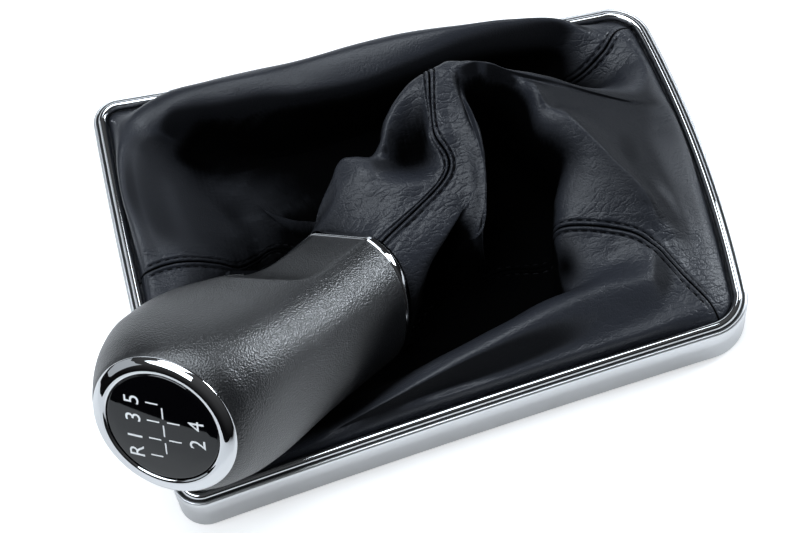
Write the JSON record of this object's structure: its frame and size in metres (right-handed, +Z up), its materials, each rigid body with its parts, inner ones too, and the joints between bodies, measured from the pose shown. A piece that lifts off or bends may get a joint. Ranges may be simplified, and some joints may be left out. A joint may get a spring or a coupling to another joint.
{
  "type": "gear shift knob with gaiter",
  "caption": "Manual gear shift knob with chrome ring, shift pattern cap and reverse lift trigger, on a stitched leather gaiter clamped in a rounded chrome console frame",
  "frame": {"origin": "centre of the bounding box in plan, on the plane that the frame's clips rest on", "axes": "+X along the frame from the head end to the tail end, +Y across it to the side away from the knob's head, +Z up"},
  "size_m": [0.2006, 0.1532, 0.077],
  "materials": {
    "chrome": "bright chromed plastic, polished",
    "black_plastic": "moulded, slightly satin",
    "grip_black": "soft-touch black with a fine leather-like grain",
    "gloss_black": "high-gloss black with printed white shift pattern",
    "leather": "black grained leather with a soft sheen",
    "thread": "twisted black sewing thread",
    "spring_steel": "bright spring steel"
  },
  "bodies": {
    "base": {"bezel_frame": "chrome", "carrier_frame": "black_plastic", "spring_clips": "spring_steel", "panel_far": "leather", "panel_right": "leather", "panel_near": "leather", "thread_a": "thread", "thread_b": "thread", "thread_c": "thread", "knob_shell": "grip_black", "head_ring": "chrome", "pattern_cap": "gloss_black", "knob_core": "black_plastic", "lever_bush": "black_plastic", "return_spring": "spring_steel", "sleeve_guide": "black_plastic", "base_collar": "chrome", "gaiter_ring": "black_plastic"},
    "lifter": {"lift_trigger": "chrome", "lift_sleeve": "black_plastic"}
  },
  "joints": [
    {"name": "reverse_lift", "type": "slide", "parent": "base", "child": "lifter", "axis": [-0.6961, -0.5656, 0.4421], "range_m": [0, 0.008], "stiffness_N_per_m": 300, "springref_m": -0.01, "deforming": ["return_spring"]}
  ]
}
